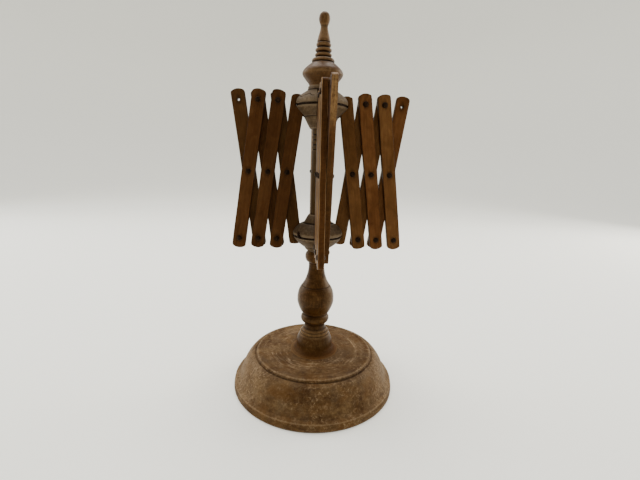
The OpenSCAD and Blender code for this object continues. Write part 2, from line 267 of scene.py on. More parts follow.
def turned_wood(name, seed, dark, mid, light, worn, axis="Z", heart=(40.0, 30.0), period=2.6, ring=0.12, fib=0.7, blot=0.9, band=0.3, speck=0.25, dry=0.3,
                flecks=0.3, endgrain=0.0, scuffs=0.0, spots=0.4, rub=0.6, groove_dirt_and_shade=0.8, amber=0.0, matt=None, gloss=0.4, spec=0.3, tint=(1.0, 0.74, 0.44), spread=0.42, mottle=0.0, pale=(), shade=0.0):
    """Solid wood from one side of a trunk that runs along axis, turned on Z, handled, with dirt and painted shade in
    its grooves.
    """
    w = Mat(name)
    rnd = random.Random(seed)
    co = w.coords()
    p = w.mapped(co, loc=tuple(rnd.uniform(-900, 900) for _ in range(3)))
    x, y, z = w.split(co)
    if axis == "Z":
        long_s, fibre_s, fine_s = (0.05, 0.05, 0.008), (0.8, 0.8, 0.035), (3.2, 3.2, 0.12)
        u, v = w.math("SUBTRACT", x, heart[0]), w.math("SUBTRACT", y, heart[1])
    else:
        long_s, fibre_s, fine_s = (0.006, 0.04, 0.04), (0.030, 0.62, 0.62), (0.11, 2.6, 2.6)
        u, v = w.math("SUBTRACT", y, heart[0]), w.math("SUBTRACT", z, heart[1])
    r = w.math("SQRT", w.math("MULTIPLY_ADD", x, x, w.math("MULTIPLY", y, y)))
    slow = w.noise(w.mapped(p, scale=long_s), 1, 2, 0.5)
    d = w.math("MULTIPLY_ADD", slow, 14.0, w.math("SQRT", w.math("MULTIPLY_ADD", u, u, w.math("MULTIPLY", v, v))))
    rings = w.span(w.math("SINE", w.math("MULTIPLY", d, 2 * math.pi / period)), -0.5, 1.0)
    fibre = w.noise(w.mapped(p, scale=fibre_s), 1, 5, 0.6, 0.3)
    fine = w.noise(w.mapped(p, scale=fine_s), 1, 3, 0.6)
    blotch = w.noise(w.mapped(p, scale=(0.055, 0.055, 0.055)), 1, 5, 0.6, 0.5)
    grit = w.noise(w.mapped(p, scale=(0.75, 0.75, 0.75)), 1, 5, 0.68, 0.3)
    # lathe bands run round the axis
    ux, uy = w.math("DIVIDE", x, w.math("ADD", r, 0.01)), w.math("DIVIDE", y, w.math("ADD", r, 0.01))
    lathe = w.noise(w.join(w.math("MULTIPLY", ux, 0.9), w.math("MULTIPLY", uy, 0.9), w.math("MULTIPLY_ADD", r, 0.85, w.math("MULTIPLY", z, 0.85))), 1, 4, 0.6)
    f = w.math("MULTIPLY_ADD", rings, ring, w.math("MULTIPLY", fibre, fib))
    f = w.math("MULTIPLY_ADD", blotch, blot, f)
    f = w.math("MULTIPLY_ADD", lathe, band, f)
    f = w.math("MULTIPLY_ADD", grit, speck, f)
    f = w.math("MULTIPLY_ADD", fine, 0.22, f)
    if mottle:
        f = w.math("MULTIPLY_ADD", w.noise(w.mapped(p, scale=(0.14, 0.17, 0.17)), 1, 4, 0.6, 0.8), mottle, f)
    c = 0.5 * (ring + fib + blot + band + speck + 0.22 + mottle)
    f = w.span(f, c - spread, c + spread, smooth=False)
    col = w.ramp(f, [(0.0, dark), (0.5, mid), (1.0, light)])
    # old finish gone dry and grey in patches
    old = w.span(w.noise(w.mapped(p, scale=(0.045, 0.045, 0.06)), 1, 6, 0.66, 0.7), 0.42, 0.68)
    lum = mid[0] * 0.45 + mid[1] * 0.45 + mid[2] * 0.1
    col = w.mix(w.math("MULTIPLY", old, dry), col, (lum * 1.45, lum * 1.12, lum * 0.78))
    if amber:
        # warmer, clearer patches of the old finish
        warm = w.span(w.noise(w.mapped(p, scale=(0.05, 0.05, 0.07)), 1, 5, 0.62, 0.6), 0.46, 0.66)
        col = w.mix(w.math("MULTIPLY", warm, amber), col, (mid[0] * 1.12, mid[1] * 0.92, mid[2] * 0.55))
    # worn flecks where the finish has gone
    area = w.span(w.noise(w.mapped(p, scale=(0.03, 0.03, 0.03)), 1, 3, 0.6, 0.4), 0.38, 0.64)
    chip = w.noise(w.mapped(p, scale=(0.40, 0.40, 0.40)), 1, 6, 0.72, 0.6)
    fl = w.math("MULTIPLY", w.span(chip, 0.49, 0.68), w.math("MULTIPLY_ADD", area, 0.85, 0.15))
    if shade:
        # the top disc is smoother, and painted darker to the right and the front: painted shade
        top = w.math("MULTIPLY", w.span(r, 57.0, 54.0), w.span(z, 33.4, 34.4))
        fl = w.math("MULTIPLY", fl, w.math("MULTIPLY_ADD", top, -0.35, 1.0))
        painted_shade_side = w.span(w.math("SUBTRACT", ux, uy), -0.6, 0.6)
        col = w.mix(w.math("MULTIPLY", w.math("MULTIPLY", top, painted_shade_side), shade), col, dark)
    col = w.mix(w.math("MULTIPLY", fl, flecks), col, worn)
    if endgrain:
        # the two sides of the round where the grain runs out: bleached, with open pores
        out = w.span(w.math("ABSOLUTE", ux), 0.52, 0.96)
        below = w.math("MULTIPLY", w.span(r, 58.0, 61.0), w.span(z, 5.5, 9.0))
        patch = w.span(w.noise(w.mapped(p, scale=(0.07, 0.035, 0.07)), 1, 4, 0.6, 0.5), 0.28, 0.66, 0.25, 1.0)
        end = w.math("MULTIPLY", w.math("MULTIPLY", out, below), patch)
        frost = w.span(w.noise(w.mapped(p, scale=(0.34, 0.80, 0.30), rot=(0.5, 0.0, 0.0)), 1, 5, 0.76, 0.5), 0.40, 0.66)
        pit = w.span(w.noise(w.mapped(p, scale=(0.36, 0.95, 0.40), rot=(0.5, 0.0, 0.0)), 1, 3, 0.6), 0.55, 0.70)
        col = w.mix(w.math("MULTIPLY", w.math("MULTIPLY", end, w.math("MULTIPLY_ADD", frost, 0.78, 0.22)), endgrain), col, scaled(worn, 0.82))
        col = w.mix(w.math("MULTIPLY", w.math("MULTIPLY", end, pit), 0.45), col, scaled(mid, 0.65))
    if scuffs:
        # pale rubs round the foot of the column
        arcs = w.noise(w.join(w.math("MULTIPLY", ux, 2.6), w.math("MULTIPLY", uy, 2.6), w.math("MULTIPLY", r, 0.50)), 1, 6, 0.70, 0.5)
        band_r = w.math("MULTIPLY", w.math("MULTIPLY", w.span(r, 23.5, 28.0), w.span(r, 56.0, 42.0)), w.span(z, 33.6, 34.4))
        some = w.span(w.noise(w.mapped(p, scale=(0.045, 0.045, 0.045)), 1, 4, 0.6, 0.5), 0.40, 0.64)
        col = w.mix(w.math("MULTIPLY", w.math("MULTIPLY", w.math("MULTIPLY", w.span(arcs, 0.46, 0.66), band_r), some), scuffs), col, worn)
    if matt:
        # the foot is lighter and rougher towards its bottom
        low = w.span(w.math("ADD", z, w.math("MULTIPLY_ADD", chip, 7.0, -3.5)), matt[1] + 5.0, matt[0])
        col = w.mix(w.math("MULTIPLY", low, 0.8), col, w.mix(grit, (mid[0] * 1.1, mid[1] * 1.0, mid[2] * 0.75), (mid[0] * 2.6, mid[1] * 2.45, mid[2] * 2.1)))
    for z0, z1, u0, u1, amount, tone in pale:
        # handled places where the finish has thinned; the bands on the column bulb's sides and the cap ball's right
        # side are painted sheen
        there = w.math("MULTIPLY", w.math("MULTIPLY", w.span(z, z0 - 1.2, z0 + 1.2), w.span(z, z1 + 1.2, z1 - 1.2)), w.span(ux, u0, u1))
        col = w.mix(w.math("MULTIPLY", there, w.span(w.math("MULTIPLY_ADD", chip, 0.6, w.math("MULTIPLY", fibre, 0.4)), 0.36, 0.60, amount * 0.45, amount)), col, tone)
    dark_spots = w.span(w.noise(w.mapped(p, scale=(0.26, 0.26, 0.26)), 1, 5, 0.7, 0.5), 0.56, 0.76)
    col = w.mix(w.math("MULTIPLY", dark_spots, spots), col, scaled(dark, 0.45))
    # rubbed edges; dirt and painted shade in the grooves
    cvx = w.attr("cvx")
    chew = w.math("MULTIPLY_ADD", chip, 0.9, -0.45)
    rubbed = w.span(w.math("ADD", cvx, chew), 0.20, 0.62)
    col = w.mix(w.math("MULTIPLY", rubbed, rub), col, worn)
    cav = w.span(w.math("ADD", cvx, w.math("MULTIPLY", chew, 0.45)), -0.10, -0.46)
    # painted shade: the grooves are darker at the front than at the sides and back
    if shade:
        cav = w.math("MULTIPLY", cav, w.span(uy, -0.20, -0.72, 0.50, 1.0))
    col = w.mix(w.math("MULTIPLY", cav, groove_dirt_and_shade), col, scaled(dark, 0.30))
    # painted shade: bores and notch walls painted dark
    col = w.mix(w.math("MULTIPLY", w.attr("wall"), 0.85), col, scaled(dark, 0.45))
    # painted shade: darker towards the very bottom, where the piece meets the floor
    col = w.mix(w.span(z, 1.6, 0.2, 0.0, 0.7), col, scaled(dark, 0.3))
    rough = w.math("MULTIPLY_ADD", fibre, 0.14, w.math("MULTIPLY_ADD", fl, 0.22, w.math("MULTIPLY_ADD", cav, 0.2, gloss)))
    if matt:
        rough = w.math("ADD", rough, w.span(z, matt[1], matt[0], 0.0, 0.35))
    h = w.math("MULTIPLY_ADD", fine, 0.35, w.math("MULTIPLY_ADD", fibre, 0.5, w.math("MULTIPLY_ADD", lathe, 0.8, w.math("MULTIPLY_ADD", grit, 0.3, w.math("MULTIPLY", fl, -0.5)))))
    n = w.bump(h, 0.30, 0.00025)
    n = w.bump(w.noise(w.mapped(p, scale=(0.11, 0.11, 0.11)), 1, 3, 0.5), 0.20, 0.0009, n)
    return w.set(Base_Color=col, Roughness=rough, Normal=n, Specular_IOR_Level=spec, Specular_Tint=tint)


def old_iron(name, seed, rust=0.5):
    w = Mat(name)
    rnd = random.Random(seed)
    p = w.mapped(w.coords(), loc=tuple(rnd.uniform(-900, 900) for _ in range(3)))
    big = w.noise(w.mapped(p, scale=(0.5, 0.5, 0.5)), 1, 5, 0.65, 0.4)
    small = w.noise(w.mapped(p, scale=(2.6, 2.6, 2.6)), 1, 4, 0.6)
    col = w.ramp(big, [(0.30, (0.0024, 0.0015, 0.0009)), (0.55, (0.0065, 0.0040, 0.0025)), (0.78, (0.022, 0.0138, 0.0085))])
    r = w.math("MULTIPLY", w.span(w.math("MULTIPLY_ADD", small, 0.5, w.math("MULTIPLY", big, 0.6)), 0.52, 0.72), rust)
    col = w.mix(r, col, (0.040, 0.015, 0.005))
    rough = w.math("MULTIPLY_ADD", small, 0.25, w.math("MULTIPLY_ADD", r, 0.3, 0.34))
    n = w.bump(w.math("MULTIPLY_ADD", small, 0.6, big), 0.5, 0.00035)
    return w.set(Base_Color=col, Roughness=rough, Metallic=0.1, Normal=n, Specular_IOR_Level=0.09, Specular_Tint=(1.0, 0.62, 0.38))


# ---------------------------------------------------------------- mesh helpers
def curve(p, n=8):
    out = []
    for i in range(len(p) - 1):
        a, b, c, d = p[max(i - 1, 0)], p[i], p[i + 1], p[min(i + 2, len(p) - 1)]
        for k in range(n):
            t = k / n
            out.append(tuple(0.5 * (2 * b[j] + (c[j] - a[j]) * t + (2 * a[j] - 5 * b[j] + 4 * c[j] - d[j]) * t * t + (3 * b[j] - a[j] - 3 * c[j] + d[j]) * t ** 3) for j in (0, 1)))
    out.append(tuple(p[-1]))
    return out


def lift(p, dz):
    return [(r, z + dz) for r, z in p]


def flip(p):
    return [(r, -z) for r, z in reversed(p)]


def soften(p, radius=0.25, limit=18.0, steps=4, closed=False):
    """Rounds the sharp corners of a line of points."""
    out, n = [], len(p)
    for i in range(n):
        if not closed and i in (0, n - 1):
            out.append(p[i])
            continue
        a, b, c = Vector(p[i - 1]), Vector(p[i]), Vector(p[(i + 1) % n])
        e, f = b - a, c - b
        if e.length < 1e-6 or f.length < 1e-6:
            continue
        ang = math.degrees(e.angle(f))
        if ang < limit:
            out.append(tuple(b))
            continue
        k = min(radius * math.tan(math.radians(min(ang, 150)) / 2) + 1e-4, 0.42 * e.length, 0.42 * f.length)
        s, t = b - e.normalized() * k, b + f.normalized() * k
        for j in range(steps + 1):
            q = j / steps
            out.append(tuple(s * (1 - q) ** 2 + b * 2 * q * (1 - q) + t * q * q))
    return out


def dense(p, gap, closed=False):
    """Adds points so that no step is longer than gap."""
    out = []
    m = len(p) if closed else len(p) - 1
    for i in range(m):
        a, b = Vector(p[i]), Vector(p[(i + 1) % len(p)])
        k = max(1, int(math.ceil((b - a).length / gap)))
        out += [tuple(a.lerp(b, j / k)) for j in range(k)]
    if not closed:
        out.append(tuple(p[-1]))
    return out


def new_object(name, verts, faces, mat, smooth_angle=35):
    me = bpy.data.meshes.new(name)
    me.from_pydata([tuple(c * MM for c in v) for v in verts], [], faces)
    me.validate()
    bm = bmesh.new()
    bm.from_mesh(me)
    bmesh.ops.remove_doubles(bm, verts=bm.verts, dist=1e-7)
    bmesh.ops.recalc_face_normals(bm, faces=bm.faces)
    bm.to_mesh(me)
    bm.free()
    finish_mesh(me, mat, smooth_angle)
    ob = bpy.data.objects.new(name, me)
    bpy.context.scene.collection.objects.link(ob)
    return ob


def finish_mesh(me, mat, smooth_angle=35):
    me.materials.clear()
    me.materials.append(mat)
    me.polygons.foreach_set("use_smooth", [True] * len(me.polygons))
    me.set_sharp_from_angle(angle=math.radians(smooth_angle))
    me.update()


def float_attr(me, name, values):
    a = me.attributes.get(name) or me.attributes.new(name, "FLOAT", "POINT")
    a.data.foreach_set("value", values)


def lathe_data(prof, seg, closed=False, shape=None):
    verts, rings, faces = [], [], []
    for r, z in prof:
        if r < 1e-4 and not closed:
            rings.append([len(verts)])
            verts.append((0, 0, z))
            continue
        ids = []
        for k in range(seg):
            a = 2 * math.pi * k / seg
            rr, zz = shape(r, z, a) if shape else (r, z)
            ids.append(len(verts))
            verts.append((rr * math.cos(a), rr * math.sin(a), zz))
        rings.append(ids)
    pairs = list(zip(rings, rings[1:])) + ([(rings[-1], rings[0])] if closed else [])
    for lo, hi in pairs:
        if len(lo) == 1 and len(hi) == 1:
            continue
        for k in range(seg):
            j = (k + 1) % seg
            if len(lo) == 1:
                faces.append((lo[0], hi[j], hi[k]))
            elif len(hi) == 1:
                faces.append((lo[k], lo[j], hi[0]))
            else:
                faces.append((lo[k], lo[j], hi[j], hi[k]))
    return verts, faces


def convexity(prof, reach):
    """How far each profile point stands out of (+) or sinks into (-) the line joining its neighbours a reach away."""
    s = [0.0]
    for a, b in zip(prof, prof[1:]):
        s.append(s[-1] + math.dist(a, b))

    def at(t):
        t = min(max(t, 0.0), s[-1])
        lo, hi = 0, len(s) - 1
        while hi - lo > 1:
            m = (lo + hi) // 2
            lo, hi = (m, hi) if s[m] <= t else (lo, m)
        q = 0 if s[hi] == s[lo] else (t - s[lo]) / (s[hi] - s[lo])
        return prof[lo][0] + (prof[hi][0] - prof[lo][0]) * q, prof[lo][1] + (prof[hi][1] - prof[lo][1]) * q

    out = []
    for i, (r, z) in enumerate(prof):
        a, b = at(s[i] - reach), at(s[i] + reach)
        dr, dz = b[0] - a[0], b[1] - a[1]
        ln = math.hypot(dr, dz) or 1e-6
        out.append(((r - a[0]) * dz - (z - a[1]) * dr) / ln / reach)
    return out


def paint_turned(ob, prof, seed, wall_from=0.6):
    """cvx: rubbed edges and grooves; wall: cut faces away from the turned skin."""
    fine_p = dense(prof, 0.5)
    c1, c2 = convexity(fine_p, 0.9), convexity(fine_p, 3.2)
    grid = {}
    for i, (r, z) in enumerate(fine_p):
        grid.setdefault((int(r // 2), int(z // 2)), []).append(i)
    cvx, wall = [], []
    for v in ob.data.vertices:
        c = v.co / MM
        r, z = math.hypot(c.x, c.y), c.z
        best, bi = 1e9, -1
        gi, gj = int(r // 2), int(z // 2)
        for a in (-1, 0, 1):
            for b in (-1, 0, 1):
                for i in grid.get((gi + a, gj + b), ()):
                    d = (fine_p[i][0] - r) ** 2 + (fine_p[i][1] - z) ** 2
                    if d < best:
                        best, bi = d, i
        away = math.sqrt(best) if bi >= 0 else 9.0
        k = 0.0 if bi < 0 else 0.62 * c1[bi] + 0.5 * c2[bi]
        cvx.append(max(-1.0, min(1.0, 1.7 * k)) if away < wall_from else -0.3)
        wall.append(min(1.0, max(0.0, (away - wall_from) / 1.2)))
    float_attr(ob.data, "cvx", cvx)
    float_attr(ob.data, "wall", wall)


def wobble(seed, low=0.10, mid=0.05, oval=0.08, dents=(), free=(5.6, 7.0), flat=None, crack=None):
    """Hand-turned and handled: slightly oval, uneven, with a few dents. Only ever takes wood away; bores inside free stay true."""
    o = Vector((seed * 13.7, seed * 7.1, seed * 3.3))

    def shape(r, z, a):
        p = Vector((r * math.cos(a), r * math.sin(a), z))
        d = low * (noise.noise(p * 0.035 + o) - 0.9) * 0.5 + mid * (noise.noise(p * 0.21 + o) - 0.8) * 0.5
        d -= oval * (0.5 + 0.5 * math.cos(2 * a + seed))
        for da, dz0, size, depth in dents:
            arc = ((a - da + math.pi) % (2 * math.pi) - math.pi) * r
            q = (arc * arc + (z - dz0) ** 2) / (size * size)
            if q < 4:
                d -= depth * math.exp(-q * 1.6)
        if crack:
            d -= crack(r, z, a)
        k = min(1.0, max(0.0, (r - free[0]) / (free[1] - free[0])))
        dz = -flat[2] * (0.5 + 0.5 * noise.noise(p * 0.09 + o)) if flat and z > flat[0] and r < flat[1] else 0.0
        return max(r + d * k, 0.05), z + dz
    return shape


def random_dents(seed, n, zr, size=(1.0, 2.6), depth=(0.1, 0.3)):
    rnd = random.Random(seed)
    return [(rnd.uniform(0, 2 * math.pi), rnd.uniform(*zr), rnd.uniform(*size), rnd.uniform(*depth)) for _ in range(n)]


def turned_piece(name, prof, mat, body, node, seg, shape, seed, gap=1.2, closed=False):
    p = dense(prof, gap, closed)
    v, f = lathe_data(p, seg, closed, shape)
    ob = new_object(name, v, f, mat, 50)
    paint_turned(ob, prof if not closed else prof + prof[:1], seed)
    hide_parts(node)
    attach(ob, body)
    return ob


# ---------------------------------------------------------------- materials in use
STAND = turned_wood("base_wood", 11, (0.032, 0.0135, 0.0045), (0.070, 0.0365, 0.0142), (0.122, 0.073, 0.032), (0.29, 0.198, 0.112), axis="X", heart=(-70.0, -120.0), period=5.0,
                    ring=0.05, fib=0.5, blot=1.25, band=0.10, speck=0.80, dry=0.25, flecks=0.60, endgrain=0.85, scuffs=0.60, spots=0.8, rub=0.26, groove_dirt_and_shade=0.60, amber=0.55, gloss=0.55, spec=0.07, spread=0.34, mottle=0.80, shade=0.20)
# the last two pale bands are painted sheen on the bulb's right and left sides
COLUMN = turned_wood("column_wood", 12, (0.0085, 0.0026, 0.0005), (0.0330, 0.0130, 0.0030), (0.079, 0.0370, 0.0108), (0.180, 0.103, 0.039), heart=(26.0, 18.0), period=2.3,
                     ring=0.08, fib=0.5, blot=0.9, band=0.4, speck=0.45, dry=0.06, flecks=0.30, spots=0.4, rub=0.30, groove_dirt_and_shade=0.50, amber=0.3, matt=(36.5, 40.0), gloss=0.25, spec=0.10, tint=(1.0, 0.72, 0.42), spread=0.36, mottle=0.5,
                     pale=((51.5, 58.8, -2.0, -1.5, 0.90, (0.104, 0.058, 0.0245)), (39.5, 51.0, -2.0, -1.5, 0.22, (0.080, 0.043, 0.017)), (33.0, 38.0, -0.25, -0.85, 0.60, (0.086, 0.049, 0.021)),
                           (72.0, 112.0, 0.25, 0.85, 0.72, (0.108, 0.063, 0.029)), (72.0, 112.0, -0.40, -0.95, 0.45, (0.085, 0.052, 0.030))))
SPINDLE = turned_wood("spindle_wood", 13, (0.019, 0.0088, 0.0028), (0.041, 0.0212, 0.0070), (0.070, 0.040, 0.015), (0.13, 0.083, 0.037), heart=(22.0, -16.0), period=2.1,
                      ring=0.10, fib=0.6, blot=0.6, band=0.3, speck=0.25, dry=0.15, flecks=0.12, spots=0.25, rub=0.3, gloss=0.5, spec=0.08)
HUBS = turned_wood("hub_wood", 14, (0.025, 0.0138, 0.0062), (0.060, 0.037, 0.0193), (0.114, 0.076, 0.0435), (0.20, 0.145, 0.090), heart=(45.0, 25.0), period=2.8,
                   ring=0.10, fib=0.6, blot=0.9, band=0.6, speck=0.6, dry=0.5, flecks=0.3, spots=0.5, rub=0.4, gloss=0.5, spec=0.08, tint=(1.0, 0.8, 0.6),
                   pale=((274.5, 284.0, -2.0, -1.5, 0.55, (0.140, 0.103, 0.066)),))
# the second pale band is a painted highlight on the ball's right side
CAP = turned_wood("cap_wood", 15, (0.021, 0.0076, 0.0021), (0.056, 0.0248, 0.0082), (0.106, 0.0555, 0.0225), (0.20, 0.124, 0.060), heart=(30.0, 34.0), period=2.6,
                  ring=0.08, fib=0.55, blot=0.8, band=0.45, speck=0.35, dry=0.12, flecks=0.18, spots=0.35, rub=0.30, groove_dirt_and_shade=0.95, amber=0.35, gloss=0.30, spec=0.11, tint=(1.0, 0.76, 0.48),
                  pale=((326.5, 338.5, -2.0, -1.5, 0.95, (0.130, 0.075, 0.036)), (338.5, 351.0, 0.0, 0.7, 0.65, (0.125, 0.070, 0.031))))
IRON = old_iron("old_iron", 21, 0.45)
WIRE = old_iron("iron_wire", 22, 0.65)


# ---------------------------------------------------------------- turned pieces
def base_profile():
    r, d, h = 80.0, 58.0, BASE_H
    p = [(0, 0), (r + 0.2, 0)]
    p += curve([(r + 0.8, 0.7), (r + 0.7, 3.2), (r + 0.3, 5.8), (r, 7)], 5)
    p += [(r - 0.1, 7.3), (r - 0.6, 7.7)]
    p += curve([(r - 1.1, 7.9), (r - 3.8, 9.5), (r - 5.9, 12.3), (r - 7.3, 16), (r - 8.6, 20), (r - 10.4, 24), (r - 13.1, 28), (r - 16, h - 3.4), (r - 18.2, h - 2.3), (r - 19.4, h - 2.1)], 6)
    p += [(d + 1.9, h - 2.15), (d + 1.5, h - 2.2)]
    p += curve([(d + 1, h - 1.9), (d + 0.5, h - 0.9), (d - 0.1, h - 0.1), (d - 1, h + 0.25), (d - 2.1, h + 0.32), (d - 3.4, h + 0.2), (d - 4.8, h + 0.02)], 5)
    p += [(d - 5.5, h), (11.05, h), (11.05, h - 24), (0, h - 24)]
    return soften(p, 0.3)


def column_profile():
    b, z = BASE_H, COL_TOP
    p = [(0, b - 23), (10.4, b - 23), (11, b - 22.4), (11, b), (23.8, b)]
    p += curve([(24, b + 0.3), (22.1, b + 0.9), (20.2, b + 2.1), (18.9, b + 3.9), (18.3, b + 6), (18.2, b + 8.4), (18, b + 10.8), (17.4, b + 13), (16.6, b + 14.9), (15.7, b + 16.8), (14.9, b + 18.2)], 6)
    p += curve([(14.2, b + 18.5), (14.5, b + 19.5), (14.2, b + 20.7), (13.3, b + 21.3)], 6)
    p += curve([(12.6, b + 21.5), (12.8, b + 22.4), (12.2, b + 23.4), (11.2, b + 24)], 6)
    p += curve([(10.8, b + 24.3), (10.5, b + 26), (10.4, b + 27.8), (10.6, b + 29.2), (10.9, b + 29.9)], 6)
    p += curve([(11.2, b + 30.2), (12.9, b + 31.5), (14, b + 33.4), (14.2, b + 35), (13.8, b + 36.8), (12.5, b + 38.7)], 6)
    p += curve([(12, b + 39.3), (13.9, b + 41.8), (15.2, b + 44), (17, b + 48.3), (18.1, b + 52.6), (18.2, b + 56.8), (17.9, b + 60), (17.1, b + 63.4), (15.8, b + 66.4), (14.6, b + 68.4)], 6)
    p += [(13.7, b + 68.8), (13.6, b + 69.3)]
    p += curve([(13.7, b + 69.6), (12.6, b + 71.4), (11.3, b + 73.7), (9.7, b + 77.8), (8.6, b + 81.9), (7.9, b + 86.2), (7.8, z - 13.6), (8, z - 11.4)], 6)
    p += curve([(8.6, z - 11), (10.2, z - 9.6), (11.2, z - 7.2), (11.4, z - 5.2), (11, z - 2.6), (9.4, z)], 6)
    p += [(5.08, z), (5.08, z - 54), (0, z - 54)]
    return soften(p, 0.22)


def spindle_profile():
    s, j, n, pitch = 7.8, 5.0, 4, 4.4
    floor, top, seat = COL_TOP - 54, UP_WIRE - 19.9, UP_WIRE - 10
    p = [(0, floor + 14), (1.5, floor + 14), (1.5, floor + 3), (j - 0.8, floor + 3), (j, floor + 3.8), (j, COL_TOP + 0.3), (s - 0.6, COL_TOP + 0.3), (s, COL_TOP + 0.9), (s, top - n * pitch - 1)]
    for i in range(n, 0, -1):
        b = top - i * pitch
        p += [(s - 0.8, b - 0.6), (s - 0.8, b)]
        p += curve([(s - 0.1, b + 0.8), (s, b + 1.8), (s - 0.1, b + 2.8)], 4)
    p += [(s - 0.1, top), (s - 0.1, seat), (6.5, seat), (6.5, HUB_TOP), (5.5, HUB_TOP), (5.5, HUB_TOP + 14.8), (4.7, HUB_TOP + 15.6), (0, HUB_TOP + 15.6)]
    return soften(p, 0.2)


def hub_rim():
    return [(23.4, -1), (RING - 0.9, -0.9), (RING - 0.9, 0.9), (23.4, 1)]


def lower_hub_profile():
    p = [(7.9, -15.2), (8.9, -15.2)]
    p += curve([(9.2, -15.1), (11.4, -13.5), (12.6, -11.6), (13, -10.8)], 6)
    p += [(13.2, -10.6), (13.9, -10.6)]
    p += curve([(14.2, -10.4), (18, -7.5), (21, -4.4), (23.1, -1.4)], 7)
    p += hub_rim()
    p += curve([(23.6, 1.4), (23.8, 2.4), (23.6, 3.6), (22.8, 5.4), (21.4, 7.4), (18.8, 9.9), (16.2, 11.7)], 6)
    p += [(15.6, 11.9), (13.9, 11.9)]
    p += curve([(13.6, 12.2), (12.8, 14), (11.3, 16.8), (9.9, 19.2), (9, 20.3)], 6)
    p += [(7.9, 20.3)]
    return lift(soften(p, 0.25, closed=True), LOW_WIRE)


def upper_hub_profile():
    p = [(7.8, -19.4), (10, -19.4)]
    p += curve([(10.4, -19), (11.2, -17.6), (12.5, -15.4), (14.1, -12.4), (15.4, -10)], 6)
    p += [(15.7, -9.3), (16.4, -9.1)]
    p += curve([(16.8, -8.8), (19.4, -6.2), (22, -3.4), (23.3, -1.5)], 7)
    p += hub_rim()
    p += curve([(23.6, 1.4), (23.8, 2.4), (23.6, 4), (22.6, 6), (20.4, 8.2), (17.4, 10.4), (14.8, 12.1)], 7)
    p += curve([(13.6, 12.6), (13, 14.2), (12.7, 16.2)], 5)
    p += [(6.5, 16.2), (6.5, -10), (7.8, -10)]
    return lift(soften(p, 0.25, closed=True), UP_WIRE)


def cap_profile():
    p = [(0, 16), (5.5, 16), (5.5, 0)]
    p += curve([(11.6, 0), (12, 1.6), (13, 3.4), (14.6, 5.2), (16.6, 7.7), (17.8, 9.6), (18.1, 11), (17.7, 12.6), (16.6, 14.2), (15.2, 15.6), (13.4, 17.2), (11.4, 18.8), (9.9, 19.9)], 6)
    p += curve([(9.5, 20.2), (10.1, 21.2), (10, 22.2), (9.2, 23.2), (7.8, 23.8)], 6)
    p += [(6.3, 24.1), (6.2, 24.7)]
    p += curve([(6.6, 24.9), (7.3, 25.6), (7.5, 26.3), (7.2, 27.1), (6.4, 27.6)], 6)
    p += [(5.8, 27.9), (5.7, 28.5)]
    p += curve([(6.1, 28.8), (7.1, 29.6), (7.3, 30.4), (7, 31.2), (6, 31.7)], 6)
    p += [(5.4, 32.1), (5.3, 32.7)]
    p += curve([(5.6, 32.9), (6.3, 33.7), (6.5, 34.6), (6.3, 35.5), (5.9, 36)], 6)
    p += [(5.4, 36.3), (5.4, 36.8)]
    p += curve([(5.9, 37.2), (5.5, 38.8), (5, 40.8), (4.4, 43), (3.8, 45.2), (3.35, 47.2), (3.2, 49), (3.5, 50.4), (4.2, 52.2), (4.7, 54.1), (4.8, 55.8), (4.5, 57.5), (3.8, 59.1), (2.6, 60.3), (1.3, 61), (0, 61.2)], 7)
    return lift(soften(p, 0.15), HUB_TOP)


def notch_hub(ob, low):
    """Cuts the four notches for the slats' ends."""
    side = 1 if low else -1
    z0 = LOW_WIRE if low else UP_WIRE
    w = THICK + 0.6
    far = 11.6 if low else 12.6
    verts, faces = [], []
    for k, ang in enumerate((0, 180, -90, 90)):
        s = (-1 if k == 1 else 1) * side
        m = Matrix.Rotation(math.radians(ang), 4, "Z")
        prof = [(11.4, -far), (40, -far), (40, 14), (16.4, 14), (16.4, 9), (11.4, 9)]
        base = len(verts)
        for yy in (s * LAY - w / 2, s * LAY + w / 2):
            for x, z in prof:
                verts.append(tuple(m @ Vector((x, yy, (z if low else -z) + z0))))
        n = len(prof)
        faces.append(tuple(base + i for i in range(n)))
        faces.append(tuple(base + n + i for i in reversed(range(n))))
        for i in range(n):
            j = (i + 1) % n
            faces.append((base + i, base + n + i, base + n + j, base + j))
    cut = new_object(ob.name + "_cutter", verts, faces, IRON)
    mod = ob.modifiers.new("notch", "BOOLEAN")
    mod.operation, mod.solver, mod.object = "DIFFERENCE", "EXACT", cut
    dg = bpy.context.evaluated_depsgraph_get()
    made = bpy.data.meshes.new_from_object(ob.evaluated_get(dg))
    ob.modifiers.clear()
    ob.data = made
    bpy.data.objects.remove(cut)


def shoulder_crack(r, z, a):
    """An old drying crack that wanders over the upper hub's shoulder, left of the front arm."""
    if not (UP_WIRE + 1.2 < z < UP_WIRE + 12 and r > 14):
        return 0.0
    t = (math.degrees(a) + 180) % 360  # 0 is the left arm, 90 the front arm
    if not 14 < t < 80:
        return 0.0
    q = (t - 14) / 66
    line = UP_WIRE + 3.4 + 3.6 * math.sin(q * 2.4 + 0.25) + 0.7 * math.sin(q * 13.0) + 0.35 * math.sin(q * 31.0 + 1)
    fade = min(1.0, q * 6, max(0.0, (75.0 - t) / 8))
    return 0.55 * fade * math.exp(-((z - line) / 0.42) ** 2)


